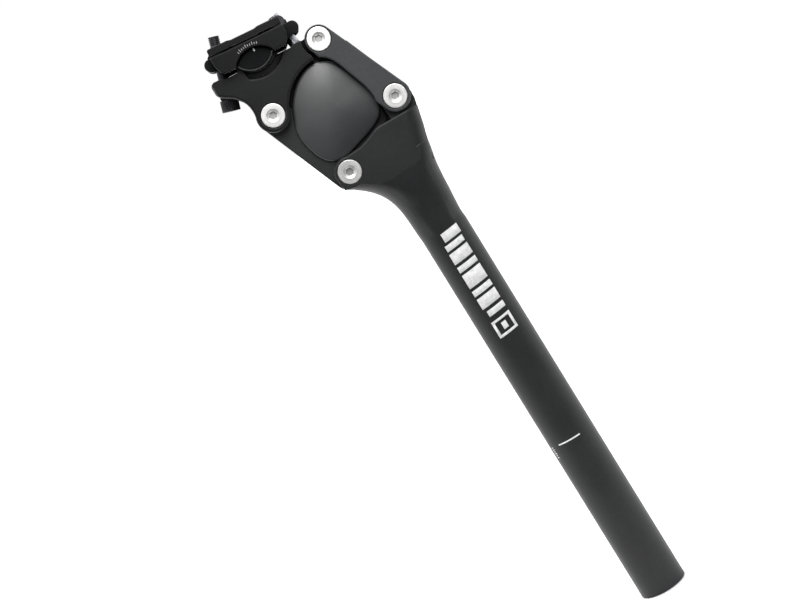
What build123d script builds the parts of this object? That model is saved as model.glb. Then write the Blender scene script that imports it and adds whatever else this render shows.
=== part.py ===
from build123d import *
import math
import os

# Suspension seatpost with a parallelogram linkage.
# Frame: origin on the tube's axis just above its rounded lower end, +Z up the tube, +X forward, Y across.
# All lengths in millimetres, all angles in degrees.

# ---------------------------------------------------------------- driving dimensions
TUBE_R = 13.6            # 27.2 mm seat tube size
TUBE_END = -0.6          # lower end of the tube
BORE_R = 10.6            # bore of the tube
BORE_TOP = 262.0         # top of the spring bore
FORK_FLOOR = 275.6       # floor of the fork slot

AX, AZ = -27.40, 285.80  # rear lower pivot (lower link in the fork)
BX, BZ = 14.22, 307.20   # front lower pivot (upper link on the fork)
LX, LZ = -18.64, 46.40   # from a lower pivot to its upper pivot, 50 mm
CX, CZ = AX + LX, AZ + LZ    # rear upper pivot (lower link in the head)
DX, DZ = BX + LX, BZ + LZ    # front upper pivot (upper link on the head)

CORE_Y = 10.2            # half width of the lower link and of the head's neck
COVER_Y0, COVER_Y1 = 10.6, 12.7
EAR_Y0, EAR_Y1 = 13.0, 18.5   # fork ears and head ears
ARM_Y0, ARM_Y1 = 13.3, 18.5   # arms of the upper link

AXLE_R = 4.0
AXLE_BORE = 2.5
RUN = 0.05               # radial running clearance
BUSH_R = 6.0
BOLT_HEAD_R = 6.4
BOLT_POCKET_R = 6.75
BOLT_SEAT_Y = 16.9
BOLT_FACE_Y = 18.85

CAM_LEVER = 15.0         # pivot B to the roller's centre
CAM_ANGLE = 160.0        # direction of the lever at rest
ROLLER_R = 6.0
ROLLER_Y = 2.6
PLUNGER_R = 5.0
PLUNGER_GAP = 0.15

BOSSX, BOSSZ = -39.06, 355.26  # centre of the round boss under the saddle clamp
BOSS_R = 12.6
BOSS_Y = 22.8
TILT = 6.0               # the saddle clamp slopes down towards the front
HEAD_TOP_N = 4.2         # height of the head's flat top over the boss centre
CLAMP_Y = 26.5
RAIL_R = 3.5
RAIL_Y = 22.0
RAIL_N = 17.1            # height of the rails over the boss centre
LIP_N = 16.8             # top edge of the lower clamp

BOLT6_R = 3.0
REAR_U, REAR_LEAN = -21.95, 12.2
FRONT_U, FRONT_LEAN = 24.70, -12.7
BEAR_N = -4.0            # where the clamp bolts' heads bear, over the boss centre
NUT_N = 19.6
ROCK_R, ROCK_Y = 4.2, 5.0     # half-round washers under the clamp bolts' heads
NUT_R = 3.6

SPRING_BOTTOM, SPRING_TOP = 44.0, 238.0
SPRING_MEAN_R, WIRE_R = 7.8, 1.7
SPRING_TURNS = 22

os.makedirs("parts", exist_ok=True)


# ---------------------------------------------------------------- helpers
def slab(face, y0, y1):
    """A face drawn in (x, z), made into a plate from y0 to y1."""
    return extrude(Plane.XZ.offset(-y1) * face, amount=(y1 - y0))


def both(face, y0, y1):
    """The same plate on both sides of the XZ plane."""
    return slab(face, y0, y1) + slab(face, -y1, -y0)


def disc(x, z, r):
    return Pos(x, z) * Circle(r)


def poly(*pts):
    return make_face(Polyline(*pts, close=True))


def smooth(pts):
    return make_face(Spline(*pts, periodic=True))


def grown(pts, w):
    """Points of a closed outline (clockwise), moved outwards by w."""
    out = []
    for i, (x, z) in enumerate(pts):
        x0, z0 = pts[i - 1]
        x1, z1 = pts[(i + 1) % len(pts)]
        dx, dz = x1 - x0, z1 - z0
        d = math.hypot(dx, dz)
        out.append((x - w * dz / d, z + w * dx / d))
    return out


def hull2(p, r1, q, r2):
    """Face round two circles, with their common tangents."""
    dx, dz = q[0] - p[0], q[1] - p[1]
    d = math.hypot(dx, dz)
    base = math.atan2(dz, dx)
    a = math.acos((r1 - r2) / d)
    def on(c, r, t):
        return (c[0] + r * math.cos(t), c[1] + r * math.sin(t))
    p1, q1 = on(p, r1, base + a), on(q, r2, base + a)
    p2, q2 = on(p, r1, base - a), on(q, r2, base - a)
    far_q, far_p = on(q, r2, base), on(p, r1, base + math.pi)
    return make_face([Line(p1, q1), ThreePointArc(q1, far_q, q2), Line(q2, p2), ThreePointArc(p2, far_p, p1)])


def rod(x, z, r, y0, y1):
    return slab(disc(x, z, r), y0, y1)


def un(u, n):
    """Clamp frame (u along the rails, n square to them, from the boss centre) to (x, z)."""
    c, s = math.cos(math.radians(TILT)), math.sin(math.radians(TILT))
    return (BOSSX + u * c + n * s, BOSSZ - u * s + n * c)


def lean_axis(u0, lean, n):
    """Point (x, z) on a clamp bolt's axis at height n."""
    return un(u0 + (n - BEAR_N) * math.tan(math.radians(lean)), n)


def along(p, q, r, r2=None):
    """A solid cylinder (or cone) between two (x, z) points at y = 0."""
    dx, dz = q[0] - p[0], q[1] - p[1]
    length = math.hypot(dx, dz)
    pl = Plane(origin=(p[0], 0, p[1]), x_dir=(0, 1, 0), z_dir=(dx / length, 0, dz / length))
    if r2 is None:
        return pl * Cylinder(r, length, align=(Align.CENTER, Align.CENTER, Align.MIN))
    return pl * Cone(r, r2, length, align=(Align.CENTER, Align.CENTER, Align.MIN))


def soften(part, edges, radii, kind="fillet"):
    """Round or bevel edges, with the largest radius in the list that the shape takes."""
    edges = list(edges)
    if not edges:
        return part
    for r in radii:
        try:
            out = fillet(edges, r) if kind == "fillet" else chamfer(edges, r)
            solids = out.solids()
            if solids and all(s.is_valid for s in solids) and abs(out.volume) > 0.8 * part.volume:
                return out
        except Exception:
            continue
    print("  not softened", len(edges), "edges")
    return part


def face_edges(part, y, tol=0.02):
    """Edges that lie wholly in the plane at this y."""
    out = []
    for e in part.edges():
        bb = e.bounding_box()
        if abs(bb.min.Y - y) < tol and abs(bb.max.Y - y) < tol:
            out.append(e)
    return out


def save(part, name):
    solids = part.solids()
    if len(solids) == 1:
        export_step(solids[0], f"parts/{name}.step")
    else:
        export_step(Compound(children=list(solids)), f"parts/{name}.step")
    print(name, len(solids), round(sum(s.volume for s in solids)))


# direction of the links at rest, and square to it (to the front)
LL = math.hypot(LX, LZ)
tx, tz = LX / LL, LZ / LL
sx, sz = tz, -tx


def link_pt(s, t):
    """Upper link frame: t from pivot B to pivot D, s to the front."""
    return (BX + s * sx + t * tx, BZ + s * sz + t * tz)


def link_pt_a(s, t):
    """Lower link frame: t from pivot A to pivot C, s to the front."""
    return (AX + s * sx + t * tx, AZ + s * sz + t * tz)


# cover outline: a rounded triangle between the links
COVER = [(-14.3, 344.4), (-6.8, 342.0), (-1.9, 335.6), (1.9, 326.2), (5.0, 317.0), (5.3, 309.4),
         (1.8, 302.9), (-5.5, 298.8), (-15.8, 295.7), (-24.5, 293.6), (-31.5, 294.8),
         (-36.4, 299.7), (-39.2, 307.0), (-40.3, 314.5), (-38.8, 322.3), (-34.7, 331.3),
         (-28.0, 338.8), (-21.2, 343.0)]
BOOT_Y1 = 11.6           # outer face of the thin skirt round each cover
BOOT_W = 4.2             # width of the skirt

# ---------------------------------------------------------------- post body
def section(z, x0, x1, half_y, r):
    return Plane.XY.offset(z) * Pos((x0 + x1) / 2, 0) * RectangleRounded(x1 - x0, 2 * half_y, r)


flare = loft([
    Plane.XY.offset(232.0) * Circle(TUBE_R),
    section(246.0, -14.3, 13.9, 14.3, 13.1),
    section(256.0, -15.6, 14.5, 15.9, 12.6),
    section(264.0, -18.8, 15.1, 17.5, 11.8),
    section(272.0, -25.4, 16.4, 18.6, 9.8),
    section(278.6, -34.7, 17.3, 18.7, 8.6),
])
flare = flare & Pos(0, 0, 260) * Box(120, 2 * EAR_Y1, 80)
tube = Pos(0, 0, TUBE_END) * Cylinder(TUBE_R, 232.0 - TUBE_END, align=(Align.CENTER, Align.CENTER, Align.MIN))

EAR_R = 8.2
def ear_pt(deg, r=EAR_R):
    return (AX + r * math.cos(math.radians(deg)), AZ + r * math.sin(math.radians(deg)))


cheek = make_face([
    Line((16.9, 277.0), (19.9, 287.0)), Line((19.9, 287.0), (22.3, 297.4)),
    Line((22.3, 297.4), (-1.2, 298.2)),
    Spline((-1.2, 298.2), (-4.6, 297.7), (-8.5, 296.2), (-15.9, 293.9), tangents=((-1, 0.0), (-0.96, -0.28))),
    Line((-15.9, 293.9), ear_pt(72)),
    ThreePointArc(ear_pt(72), ear_pt(130), ear_pt(186)),
    Line(ear_pt(186), (-34.6, 278.59)), Line((-34.6, 278.59), (-28.0, 277.0)), Line((-28.0, 277.0), (16.9, 277.0))])
lug_b = poly((2.6, 262.0), (14.6, 268.0), (19.6, 287.6), (22.8, 301.0), (23.0, 305.0), (21.6, 310.0),
             (18.0, 313.7), (12.6, 315.2), (7.6, 312.4), (5.9, 307.2), (6.0, 300.0), (6.0, 262.0))
# the front of the fork is rounded across its whole width
FORK_ROUND = 8.6
front_round = loft([section(276.0, -80.0, 16.6, EAR_Y1, FORK_ROUND), section(287.0, -80.0, 19.9, EAR_Y1, FORK_ROUND)], ruled=True) \
    + loft([section(287.0, -80.0, 19.9, EAR_Y1, FORK_ROUND), section(300.0, -80.0, 22.9, EAR_Y1, FORK_ROUND)], ruled=True)
top = slab(cheek, -EAR_Y1, EAR_Y1) & front_round
bevel = [e for e in face_edges(top, -EAR_Y1) + face_edges(top, EAR_Y1)
         if (e.bounding_box().max.Z > 286.0 and e.center().X < 17.0)]
top = soften(top, bevel, [0.9, 0.7, 0.5, 0.3])
body = tube + flare
body = body + top
slot = poly((-60, FORK_FLOOR), (6.6, FORK_FLOOR), (6.6, 330), (-60, 330))
body = body - slab(slot, -EAR_Y0, EAR_Y0)
clear_front = poly((6.59, 297.0), (60, 297.0), (60, 330), (6.59, 330))
body = body - slab(clear_front, -12.7, 12.7)
body = body + (slab(lug_b, -12.7, 12.7) & extrude(Plane.XY.offset(262) * Rectangle(200, 25.4), amount=60))
# slot for the cam lever in the front lug
lever_slot = disc(BX, BZ, 9.2) + poly((-10, 292.6), (10.5, 292.6), (21.5, 301.5), (21.5, 330), (-10, 330))
body = body - slab(lever_slot, -5.0, 5.0)
# spring bore, plunger guide bore
body = body - Pos(0, 0, -5) * Cylinder(BORE_R, BORE_TOP + 5, align=(Align.CENTER, Align.CENTER, Align.MIN))
body = body - Pos(0, 0, 250) * Cylinder(8.0, 60, align=(Align.CENTER, Align.CENTER, Align.MIN))
# pivot holes and bolt pockets
body = body - rod(AX, AZ, AXLE_R, -30, 30)
body = body - both(disc(AX, AZ, BOLT_POCKET_R), BOLT_SEAT_Y, 30)
body = body - rod(BX, BZ, BUSH_R, -30, 30)
post = body
# rounded mouth at the tube's end
rim = [e for e in post.edges() if e.geom_type == GeomType.CIRCLE and abs(e.center().Z - TUBE_END) < 0.01 and abs(e.radius - TUBE_R) < 0.01]
post = soften(post, rim, [0.5, 0.3])
rim = [e for e in post.edges() if e.geom_type == GeomType.CIRCLE and abs(e.bounding_box().max.Z - TUBE_END) < 0.01 and abs(e.radius - BORE_R) < 0.01]
post = soften(post, rim, [0.6, 0.4], "chamfer")
save(post, "post_body")

# ---------------------------------------------------------------- lower link
ll_face = hull2((AX, AZ), 9.9, (CX, CZ), 9.1)
lower = slab(ll_face, -CORE_Y, CORE_Y)
lower = soften(lower, face_edges(lower, -CORE_Y) + face_edges(lower, CORE_Y), [0.9, 0.6, 0.4])
lower = lower + rod(AX, AZ, 7.4, -12.2, 12.2) + rod(CX, CZ, 8.0, -12.2, 12.2)
# weight-saving window through the middle of the link
window = poly(link_pt_a(-4.6, 14.5), link_pt_a(-4.6, 36.0), link_pt_a(4.6, 36.0), link_pt_a(4.6, 14.5))
lower = lower - slab(window, -7.0, 7.0)
lower = lower - rod(AX, AZ, BUSH_R, -30, 30) - rod(CX, CZ, BUSH_R, -30, 30)
save(lower, "lower_link")


def bushes(x, z, inner, flange_in, flange_out, tube_in):
    """Two flanged plain bushings, one from each side."""
    one = slab(disc(x, z, BUSH_R) - disc(x, z, inner), tube_in, flange_in)
    one = one + slab(disc(x, z, 7.2) - disc(x, z, inner), flange_in, flange_out)
    return one + mirror(one, about=Plane.XZ)


save(bushes(AX, AZ, AXLE_R + RUN, 12.2, 12.85, 2.0), "lower_link_fork_bushings")
save(bushes(CX, CZ, AXLE_R + RUN, 12.2, 12.85, 2.0), "lower_link_head_bushings")
save(bushes(BX, BZ, AXLE_R + RUN, 12.7, 13.15, 5.0), "upper_link_fork_bushings")
save(bushes(DX, DZ, AXLE_R + RUN, 12.7, 13.15, 2.0), "upper_link_head_bushings")


# ---------------------------------------------------------------- axles and pivot bolts
def axle(x, z):
    a = rod(x, z, AXLE_R, -BOLT_SEAT_Y, BOLT_SEAT_Y) - rod(x, z, AXLE_BORE, -30, 30)
    return a


def pivot_bolts(x, z):
    """Flat silver bolt with a dished face and a hexagon socket, one from each side."""
    head = rod(x, z, BOLT_HEAD_R, BOLT_SEAT_Y, BOLT_FACE_Y)
    head = soften(head, face_edges(head, BOLT_FACE_Y), [0.35], "fillet")
    pl = Plane(origin=(x, BOLT_FACE_Y, z), x_dir=(1, 0, 0), z_dir=(0, -1, 0))
    dish = pl * Cone(3.6, 2.3, 0.55, align=(Align.CENTER, Align.CENTER, Align.MIN))
    socket = pl * extrude(RegularPolygon(2.3, 6), amount=2.6)
    head = head - dish - socket
    shank = rod(x, z, AXLE_BORE, 7.0, BOLT_SEAT_Y + 0.01) - rod(x, z, 0.01, 0, 1)
    one = head + shank
    one = one - socket
    return one + mirror(one, about=Plane.XZ)


save(axle(AX, AZ), "axle_lower_fork")
save(axle(CX, CZ), "axle_lower_head")
save(axle(BX, BZ), "axle_upper_fork")
save(axle(DX, DZ), "axle_upper_head")
save(pivot_bolts(AX, AZ), "pivot_bolts_fork")
save(pivot_bolts(CX, CZ), "pivot_bolts_head")
save(pivot_bolts(BX, BZ) + pivot_bolts(DX, DZ), "pivot_bolts_upper_link")

# ---------------------------------------------------------------- upper link
R_B, R_D = 8.45, 7.5
arm_hull = hull2((BX, BZ), R_B, (DX, DZ), R_D)
waist = make_face([Spline(link_pt(-12.0, 3.0), link_pt(-7.4, 8.0), link_pt(-5.5, 14.5), link_pt(-4.9, 22.0), link_pt(-4.4, 31.0),
                          link_pt(-4.7, 38.0), link_pt(-6.4, 42.6), link_pt(-9.0, 45.6), link_pt(-12.0, 47.5)),
                   Line(link_pt(-12.0, 47.5), link_pt(-20.0, 47.5)), Line(link_pt(-20.0, 47.5), link_pt(-20.0, 3.0)),
                   Line(link_pt(-20.0, 3.0), link_pt(-12.0, 3.0))])
arm_face = arm_hull - waist
corners = [v for v in arm_face.vertices() if abs((v.X - BX) * tx + (v.Y - BZ) * tz - 25) > 1
           and (v.X - BX) * sx + (v.Y - BZ) * sz < -4.0]
try:
    arm_face = fillet(corners, 4.0)
except Exception:
    print("  arm corners left sharp")
arm = slab(arm_face, ARM_Y0, ARM_Y1)
arm = soften(arm, face_edges(arm, ARM_Y1), [0.8, 0.6, 0.4])
arm = soften(arm, face_edges(arm, ARM_Y0), [0.4, 0.3])
upper = arm + mirror(arm, about=Plane.XZ)
bridge = poly(link_pt(4.6, 11.8), link_pt(4.6, 38.0), link_pt(8.25, 38.0), link_pt(8.25, 11.8))
upper = upper + slab(bridge, -ARM_Y0 - 0.5, ARM_Y0 + 0.5)
upper = upper - rod(BX, BZ, AXLE_R, -30, 30) - rod(DX, DZ, AXLE_R, -30, 30)
for px_, pz_ in ((BX, BZ), (DX, DZ)):
    upper = upper - both(disc(px_, pz_, BOLT_POCKET_R), BOLT_SEAT_Y, 30)
bolt_rims = [e for e in face_edges(upper, -ARM_Y1) + face_edges(upper, ARM_Y1)
             if e.geom_type == GeomType.CIRCLE and abs(e.radius - BOLT_POCKET_R) < 0.01]
upper = soften(upper, bolt_rims, [0.3, 0.2], "chamfer")
save(upper, "upper_link")

# ---------------------------------------------------------------- cam lever, roller
ca = math.radians(CAM_ANGLE)
RX, RZ = BX + CAM_LEVER * math.cos(ca), BZ + CAM_LEVER * math.sin(ca)
nx_, nz_ = -math.sin(ca), math.cos(ca)
lever_face = disc(BX, BZ, 7.2) + disc(RX, RZ, 3.3) + poly(
    (BX + 4.2 * nx_, BZ + 4.2 * nz_), (RX + 2.6 * nx_, RZ + 2.6 * nz_),
    (RX - 3.0 * nx_, RZ - 3.0 * nz_), (BX - 5.4 * nx_, BZ - 5.4 * nz_))
lever = slab(lever_face, -4.7, 4.7)
lever = lever - rod(RX, RZ, ROLLER_R + 0.7, -ROLLER_Y - 0.3, ROLLER_Y + 0.3)
lever = lever - rod(RX, RZ, 2.0, -30, 30) - rod(BX, BZ, AXLE_R, -30, 30)
save(lever, "cam_lever")
roller = rod(RX, RZ, ROLLER_R, -ROLLER_Y, ROLLER_Y) - rod(RX, RZ, 2.0 + RUN, -30, 30)
roller = soften(roller, [e for e in face_edges(roller, ROLLER_Y) + face_edges(roller, -ROLLER_Y) if e.radius > 5], [0.4], "chamfer")
save(roller, "cam_roller")
save(rod(RX, RZ, 2.0, -4.7, 4.7), "roller_pin")

# ---------------------------------------------------------------- plunger group
PTOP = RZ - ROLLER_R - PLUNGER_GAP


def cyl(r, z0, z1):
    return Pos(0, 0, z0) * Cylinder(r, z1 - z0, align=(Align.CENTER, Align.CENTER, Align.MIN))


plunger = cyl(PLUNGER_R, 245, PTOP) + cyl(10.2, SPRING_TOP, 250.0) - cyl(7.0, SPRING_TOP - 1, SPRING_TOP + 8)
save(plunger, "plunger")
guide = cyl(8.0, BORE_TOP, FORK_FLOOR) - cyl(PLUNGER_R + RUN, 250, 300)
save(guide, "plunger_guide")
seal = cyl(7.4, FORK_FLOOR + 0.05, FORK_FLOOR + 2.2) - cyl(PLUNGER_R + 0.08, 250, 300)
seal = soften(seal, [e for e in seal.edges() if e.center().Z > FORK_FLOOR + 2.1 and e.radius > 6], [0.8], "fillet")
save(seal, "plunger_wiper")
bump = cyl(9.8, 250.2, 261.8) - cyl(PLUNGER_R + 0.5, 240, 270)
save(bump, "top_out_bumper")

# main spring: closed round-wire coil
pitch = (SPRING_TOP - SPRING_BOTTOM - 2 * WIRE_R) / SPRING_TURNS
helix = Helix(pitch=pitch, height=pitch * SPRING_TURNS, radius=SPRING_MEAN_R, center=(0, 0, SPRING_BOTTOM + WIRE_R))
wire = Plane(origin=helix @ 0, z_dir=helix % 0) * Circle(WIRE_R)
spring = sweep(wire, path=helix, is_frenet=True)
save(spring, "main_spring")

core = cyl(5.0, 48.0, 205.0) - cyl(1.5, 190.0, 206.0)
save(core, "elastomer_core")
seat = cyl(9.9, 16.2, SPRING_BOTTOM) - cyl(3.2, 10, 30)
seat = seat + cyl(5.0, SPRING_BOTTOM - 0.01, 48.0)
save(seat, "spring_seat")
plug = cyl(BORE_R - RUN, 4.0, 16.0)
for k in range(6):
    plug = plug - (cyl(BORE_R + 1, 5.0 + 1.7 * k, 5.7 + 1.7 * k) - cyl(BORE_R - 0.75, 4, 20))
plug = plug - Pos(0, 0, 3.0) * extrude(RegularPolygon(4.62, 6), amount=9.0)
save(plug, "preload_adjuster")

# ---------------------------------------------------------------- head casting
EYE_R = 9.2
eye = (CX + EYE_R * math.cos(math.radians(-24.2)), CZ + EYE_R * math.sin(math.radians(-24.2)))
ear = [(-65.1, 362.4), (-66.5, 359.2), (-65.5, 355.6), (-60.5, 351.6), (-56.5, 347.6), (-54.5, 343.2),
       (-54.1, 338.4), (-55.1, 333.6)]
# the concave edge beside the cover
concave = [eye, (-35.9, 332.4), (-33.0, 336.4), (-29.0, 340.2), (-24.0, 343.2), (-18.0, 345.2), (-11.5, 345.6)]
head_face = make_face([
    Line(un(-25.2, 5.2), ear[0]), Spline(*ear), Line(ear[-1], (CX, CZ)), Line((CX, CZ), eye), Spline(*concave),
    Polyline(concave[-1], (-4.0, 346.0), (-4.0, 358.9), un(27.0, 5.2), un(21.0, 5.2), un(19.2, HEAD_TOP_N),
             un(-19.2, HEAD_TOP_N), un(-21.0, 5.2), un(-25.2, 5.2))]) + disc(CX, CZ, EYE_R)
keep_d = disc(DX, DZ, 9.5)
main = slab(head_face, -EAR_Y1, EAR_Y1)
# the upper link's arms turn round pivot D outside the neck
main = main - both(keep_d, EAR_Y0, 40)
main = main - both(poly((-13.0, 340), (20, 340), (20, 380), (-8.5, 380), (-11.5, 360)), EAR_Y0, 40)
neck = disc(DX, DZ, 7.3)
main = main + slab(neck, -12.7, 12.7)
main = main - (slab(poly((-8.0, 340), (20, 340), (20, 380), (-8.0, 380)), -12.99, 12.99) - slab(disc(DX, DZ, 7.3), -12.7, 12.7))
main = main - both(poly((-24, 340), (20, 340), (20, 380), (-14, 380)) , 12.7, 13.0)
# round boss under the saddle clamp
boss = rod(BOSSX, BOSSZ, BOSS_R, -EAR_Y1, EAR_Y1)
boss_keep = poly(un(-16, 2.0), un(16, 2.0), un(16, 20), un(-16, 20))
boss = boss & slab(boss_keep, -EAR_Y1, EAR_Y1)
main = main + boss
# almond-shaped boss ends
lx, lz = un(0, 0)
mx, mz = un(0, 0.9 + 12.1)
lens = disc(lx, lz, BOSS_R) & disc(mx, mz, 12.1)
lens_ends = slab(lens, EAR_Y1 - 1.0, BOSS_Y)
lens_ends = soften(lens_ends, face_edges(lens_ends, BOSS_Y), [1.6, 1.0, 0.6])
main = main + lens_ends + mirror(lens_ends, about=Plane.XZ)
# moat round the lower front of each almond
ox, oz = un(0.8, 13.4)
moat = (disc(ox, oz, 16.4) - disc(ox, oz, 13.0)) & poly(un(-9, HEAD_TOP_N + 0.01), un(-6, -10), un(24, -10), un(24, HEAD_TOP_N + 0.01))
main = main - both(moat, EAR_Y1 - 2.1, 30)
# lower link pocket: the ears stand each side of it
link_clear = disc(CX, CZ, 9.7) + poly(
    (CX + 9.7 * math.sin(math.radians(28.1)), CZ + 9.7 * math.cos(math.radians(28.1))),
    (CX + 9.7 * math.sin(math.radians(28.1)) + 60 * math.cos(math.radians(28.1)), CZ + 9.7 * math.cos(math.radians(28.1)) - 60 * math.sin(math.radians(28.1))),
    (CX + 20, 260), (CX - 60, 260), (CX - 9.0, CZ - 3.3))
main = main - slab(link_clear, -EAR_Y0, EAR_Y0)
# side pockets that take the covers when the linkage folds
pocket = poly((-44.0, 338.0), (-40.5, 343.5), (-33.5, 348.6), (-24.0, 352.0), (-14.6, 351.6), (-7.9, 351.0), (-7.9, 335), (-40, 320))
pocket = pocket - disc(DX, DZ, 7.3)
main = main - both(pocket, CORE_Y, EAR_Y0)
# pivot holes
main = main - rod(CX, CZ, AXLE_R, -30, 30) - both(disc(CX, CZ, BOLT_POCKET_R), BOLT_SEAT_Y, 30)
main = main - rod(DX, DZ, BUSH_R, -30, 30)
# clamp bolt holes: the rear bolt's head bears under the ear, the front one's in a counterbore
for u0, lean, cb_r in ((REAR_U, REAR_LEAN, 7.2), (FRONT_U, FRONT_LEAN, 6.0)):
    p, q = lean_axis(u0, lean, -30), lean_axis(u0, lean, 30)
    main = main - along(p, q, 3.9)
    main = main - along(lean_axis(u0, lean, -24.0 if cb_r < 7 else -16.0), lean_axis(u0, lean, BEAR_N), cb_r)
# half-round seats in which the clamp bolts' washers rock
for u0, lean in ((REAR_U, REAR_LEAN), (FRONT_U, FRONT_LEAN)):
    main = main - slab(disc(*lean_axis(u0, lean, BEAR_N), ROCK_R + RUN), -ROCK_Y - 0.1, ROCK_Y + 0.1)
# rear ear rounded in plan
plan = extrude(Plane.XY.offset(300) * Pos(-16.5, 0) * RectangleRounded(99.2, 60, 0.5), amount=120)
round_plan = extrude(Plane.XY.offset(300) * Pos(-16.0, 0) * RectangleRounded(100.2, 2 * BOSS_Y + 2.4, 10.0), amount=120)
main = main & round_plan
head = main
def on_outline(e):
    """The ear's outside edge, the round end and the concave edge, but not the bolt pocket."""
    c, n = e.center(), e.bounding_box()
    return ((-37.0 < c.X < -12.0 and 330.0 < c.Z < 346.5 and e.length > 8.0)
            or (c.X < -40.0 and c.Z < 352.0 and 20.0 < e.length < 40.0 and n.max.Z < 356.0))


head = soften(head, [e for e in face_edges(head, -EAR_Y1) + face_edges(head, EAR_Y1) if on_outline(e)], [1.4, 1.2, 1.0, 0.8, 0.5])
moat_rims = [e for e in face_edges(head, -EAR_Y1) + face_edges(head, EAR_Y1)
             if e.geom_type == GeomType.CIRCLE and abs(e.radius - 16.4) < 0.01]
head = soften(head, moat_rims, [1.2, 0.9, 0.6, 0.3])
pocket_rims = [e for e in face_edges(head, -EAR_Y1) + face_edges(head, EAR_Y1)
               if e.geom_type == GeomType.CIRCLE and abs(e.radius - BOLT_POCKET_R) < 0.01]
head = soften(head, pocket_rims, [0.3, 0.2], "chamfer")
save(head, "head_casting")

# ---------------------------------------------------------------- side covers
cover = slab(smooth(COVER), COVER_Y0, COVER_Y1)
cover = soften(cover, face_edges(cover, COVER_Y1), [0.8, 0.5, 0.3])
# thin skirt behind the ears, cut clear of the pivot bosses and of the front lug
skirt = smooth(grown(COVER, BOOT_W))
keep_out = hull2((AX, AZ), 9.9, (CX, CZ), 9.1) + disc(DX, DZ, 7.7) + poly((5.7, 280), (60, 280), (60, 380), (5.7, 380))
skirt = skirt - keep_out
cover = cover + slab(skirt, COVER_Y0, BOOT_Y1)
save(mirror(cover, about=Plane.XZ), "side_cover_left")
save(cover, "side_cover_right")

# ---------------------------------------------------------------- saddle clamp, lower half
low_prof = poly(un(-21.2, LIP_N), un(-21.0, 13.8), un(-20.4, 10.8), un(-19.3, 8.2), un(-17.4, 6.3),
                un(17.4, 6.3), un(19.3, 8.2), un(20.3, 10.8), un(20.6, 13.8), un(20.5, LIP_N))
lowc = slab(low_prof, -CLAMP_Y, CLAMP_Y)
lowc = lowc - rod(BOSSX, BOSSZ, BOSS_R + RUN, -BOSS_Y - 0.7, BOSS_Y + 0.7)
lowc = lowc - both(disc(BOSSX, BOSSZ, BOSS_R + 0.35), 20.0, 40)
lowc = lowc - slab(poly(un(-30, 14.9), un(30, 14.9), un(30, 30), un(-30, 30)), -17.3, 17.3)
end_lug = None
for u0, lean, uc in ((REAR_U, REAR_LEAN, -22.6), (FRONT_U, FRONT_LEAN, 24.8)):
    bx_, bz_ = un(uc, 14.2)
    sgn = 1 if uc > 0 else -1
    lug_n = 13.8 if uc > 0 else 14.1
    lug = disc(*un(uc, lug_n), 3.5) + poly(un(uc, lug_n - 3.5), un(uc - sgn * 8, 9.2), un(uc - sgn * 8, 16.8), un(uc, lug_n + 3.5))
    lowc = lowc + both(lug, 8.4, 12.4)
    inner = disc(*un(uc, 12.8), 2.1) + poly(un(uc, 10.7), un(uc - sgn * 8, 9.2), un(uc - sgn * 8, 14.9), un(uc, 14.9))
    lowc = lowc + slab(inner, -8.5, 8.5)
    lowc = lowc - along(lean_axis(u0, lean, -10), lean_axis(u0, lean, 30), 3.95)
for ys in (-RAIL_Y, RAIL_Y):
    gp = Plane(origin=(un(-40, RAIL_N)[0], ys, un(-40, RAIL_N)[1]), x_dir=(0, 1, 0),
               z_dir=(math.cos(math.radians(TILT)), 0, -math.sin(math.radians(TILT))))
    lowc = lowc - gp * Cylinder(RAIL_R, 80, align=(Align.CENTER, Align.CENTER, Align.MIN))
lowc = soften(lowc, face_edges(lowc, -CLAMP_Y) + face_edges(lowc, CLAMP_Y), [0.6, 0.4, 0.25])
save(lowc, "lower_rail_clamp")

# ---------------------------------------------------------------- saddle clamp, upper half
up_prof = poly(un(-21.0, 17.7), un(-8.2, 17.7), un(-7.4, 17.4), un(6.4, 17.4), un(7.2, 17.7), un(20.4, 17.7),
               un(20.4, 20.6), un(19.6, 21.4), un(8.4, 21.4), un(6.4, 20.9), un(-7.4, 20.9), un(-9.4, 21.4),
               un(-20.2, 21.4), un(-21.0, 20.6))
upc = both(up_prof, 17.8, 26.3)
web = poly(un(-22.2, 15.6), un(22.2, 15.6), un(23.6, 17.0), un(23.6, 19.2), un(22.0, 20.6), un(-20.6, 20.6), un(-22.8, 18.4), un(-22.8, 16.4))
upc = upc + slab(web, -8.2, 8.2)
midweb = poly(un(-14.5, 15.6), un(14.5, 15.6), un(14.5, 20.6), un(-14.5, 20.6))
upc = upc + slab(midweb, -16.9, 16.9)
join = poly(un(-14.5, 17.9), un(14.5, 17.9), un(14.5, 20.6), un(-14.5, 20.6))
upc = upc + slab(join, -18.4, 18.4)
for ys in (-RAIL_Y, RAIL_Y):
    gp = Plane(origin=(un(-40, RAIL_N)[0], ys, un(-40, RAIL_N)[1]), x_dir=(0, 1, 0),
               z_dir=(math.cos(math.radians(TILT)), 0, -math.sin(math.radians(TILT))))
    upc = upc - gp * Cylinder(RAIL_R, 80, align=(Align.CENTER, Align.CENTER, Align.MIN))
nuts = {}
for key, u0, lean in (("rear", REAR_U, REAR_LEAN), ("front", FRONT_U, FRONT_LEAN)):
    cx_, cz_ = lean_axis(u0, lean, NUT_N)
    upc = upc - slab(disc(cx_, cz_, NUT_R + RUN), -8.4, 8.4)
    upc = upc - along(lean_axis(u0, lean, -10), lean_axis(u0, lean, 30), 3.7)
    nut = slab(disc(cx_, cz_, NUT_R), -8.0, 8.0)
    nut = nut - along(lean_axis(u0, lean, 0), lean_axis(u0, lean, 40), BOLT6_R + 0.15)
    nuts[key] = nut
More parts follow.
